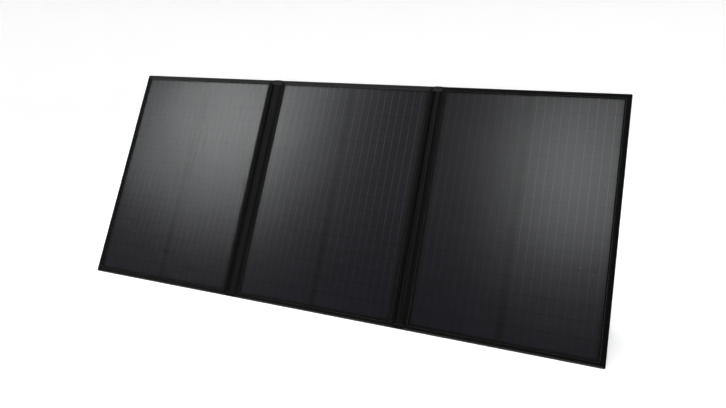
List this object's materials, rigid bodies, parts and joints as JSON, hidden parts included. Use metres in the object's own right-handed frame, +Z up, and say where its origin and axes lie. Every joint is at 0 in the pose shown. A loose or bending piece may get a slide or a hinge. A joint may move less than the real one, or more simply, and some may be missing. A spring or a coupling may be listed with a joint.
{
  "type": "folding solar panel",
  "caption": "Fabric-bound folding solar panel in black, unfolded and leaning back on hinged kickstands, with carry handles and a zipped pocket over its junction box.",
  "frame": {"origin": "middle of the footprint, on the ground", "axes": "+X along the long side, +Z up; the cells face -Y and upwards"},
  "size_m": [1.284, 0.3034, 0.499],
  "materials": {
    "binding_fabric": "matte woven tape",
    "back_fabric": "matte woven polyester",
    "laminate_black": "satin black board",
    "cell_black": "dark blue-black, low sheen",
    "cell_ribbon": "tinned copper",
    "front_film": "clear film, satin gloss",
    "stand_board": "matte board",
    "foot_rubber": "matte rubber",
    "snap_metal": "dark nickel",
    "webbing": "woven webbing",
    "grip_padding": "padded cloth",
    "magnet": "nickel plated",
    "lead_flat": "insulated flat lead",
    "pocket_fabric": "matte woven polyester",
    "zip_tape": "zip tape with nylon coil",
    "slider_metal": "gunmetal",
    "box_plastic": "moulded black",
    "screw_steel": "zinc plated",
    "circuit_board": "green board",
    "socket_plastic": "moulded black",
    "cap_rubber": "soft rubber"
  },
  "bodies": {
    "left_section": {"left_edge_binding": "binding_fabric", "left_back_cover": "back_fabric", "left_laminate_base": "laminate_black", "left_solar_cells": "cell_black", "left_cell_ribbons": "cell_ribbon", "left_front_sheet": "front_film", "left_stand_hinge_patch": "back_fabric", "left_snap_studs": "snap_metal", "left_limit_straps": "webbing", "left_closure_magnets": "magnet", "left_handle_anchors": "webbing"},
    "left_kickstand": {"left_stand_board": "stand_board", "left_stand_cover": "back_fabric", "left_stand_foot": "foot_rubber", "left_snap_sockets": "snap_metal"},
    "centre_section": {"centre_edge_binding": "binding_fabric", "centre_back_cover": "back_fabric", "centre_laminate_base": "laminate_black", "centre_solar_cells": "cell_black", "centre_cell_ribbons": "cell_ribbon", "centre_front_sheet": "front_film", "centre_stand_hinge_patch": "back_fabric", "centre_snap_studs": "snap_metal", "centre_limit_straps": "webbing", "centre_handle_anchors": "webbing", "left_fold_hinge": "binding_fabric", "right_fold_hinge": "binding_fabric", "left_link_leads": "lead_flat", "right_link_leads": "lead_flat", "pocket_shell": "pocket_fabric", "pocket_zip": "zip_tape", "junction_box_base": "box_plastic", "junction_box_lid": "box_plastic", "junction_box_screws": "screw_steel", "diode_board": "circuit_board", "output_socket": "socket_plastic"},
    "centre_kickstand": {"centre_stand_board": "stand_board", "centre_stand_cover": "back_fabric", "centre_stand_foot": "foot_rubber", "centre_snap_sockets": "snap_metal"},
    "right_section": {"right_edge_binding": "binding_fabric", "right_back_cover": "back_fabric", "right_laminate_base": "laminate_black", "right_solar_cells": "cell_black", "right_cell_ribbons": "cell_ribbon", "right_front_sheet": "front_film", "right_stand_hinge_patch": "back_fabric", "right_snap_studs": "snap_metal", "right_limit_straps": "webbing", "right_closure_magnets": "magnet"},
    "right_kickstand": {"right_stand_board": "stand_board", "right_stand_cover": "back_fabric", "right_stand_foot": "foot_rubber", "right_snap_sockets": "snap_metal"},
    "left_handle": {"left_handle_strap": "webbing", "left_handle_grip": "grip_padding"},
    "centre_handle": {"centre_handle_strap": "webbing", "centre_handle_grip": "grip_padding"},
    "zip_slider": {"zip_slider": "slider_metal"},
    "socket_cap": {"socket_cap": "cap_rubber"}
  },
  "joints": [
    {"name": "left_fold", "type": "hinge", "parent": "centre_section", "child": "left_section", "pos_m": [-0.2155, -0.01452, 0.25412], "axis": [0, 0.5, 0.866], "range_deg": [0, 180], "deforming": ["left_fold_hinge", "left_link_leads"]},
    {"name": "right_fold", "type": "hinge", "parent": "centre_section", "child": "right_section", "pos_m": [0.2185, -0.00911, 0.251], "axis": [0, -0.5, -0.866], "range_deg": [0, 180], "deforming": ["right_fold_hinge", "right_link_leads"]},
    {"name": "left_stand", "type": "hinge", "parent": "left_section", "child": "left_kickstand", "pos_m": [-0.434, 0.03269, 0.31059], "axis": [-1, 0, 0], "range_deg": [0, 50], "deforming": ["left_limit_straps"]},
    {"name": "centre_stand", "type": "hinge", "parent": "centre_section", "child": "centre_kickstand", "pos_m": [0.003, 0.03269, 0.31059], "axis": [-1, 0, 0], "range_deg": [0, 50], "deforming": ["centre_limit_straps"]},
    {"name": "right_stand", "type": "hinge", "parent": "right_section", "child": "right_kickstand", "pos_m": [0.434, 0.03269, 0.31059], "axis": [-1, 0, 0], "range_deg": [0, 50], "deforming": ["right_limit_straps"]},
    {"name": "left_handle_swing", "type": "hinge", "parent": "left_section", "child": "left_handle", "pos_m": [-0.434, 0.13433, 0.48284], "axis": [1, 0, 0], "range_deg": [-24, 150]},
    {"name": "centre_handle_swing", "type": "hinge", "parent": "centre_section", "child": "centre_handle", "pos_m": [0.003, 0.13433, 0.48284], "axis": [1, 0, 0], "range_deg": [-24, 150]},
    {"name": "zip_slide", "type": "slide", "parent": "centre_section", "child": "zip_slider", "axis": [1, 0, 0], "range_m": [0, 0.214]},
    {"name": "cap_swing", "type": "hinge", "parent": "centre_section", "child": "socket_cap", "pos_m": [0.0603, 0.07216, 0.36955], "axis": [0, -0.866, 0.5], "range_deg": [0, 110]}
  ]
}
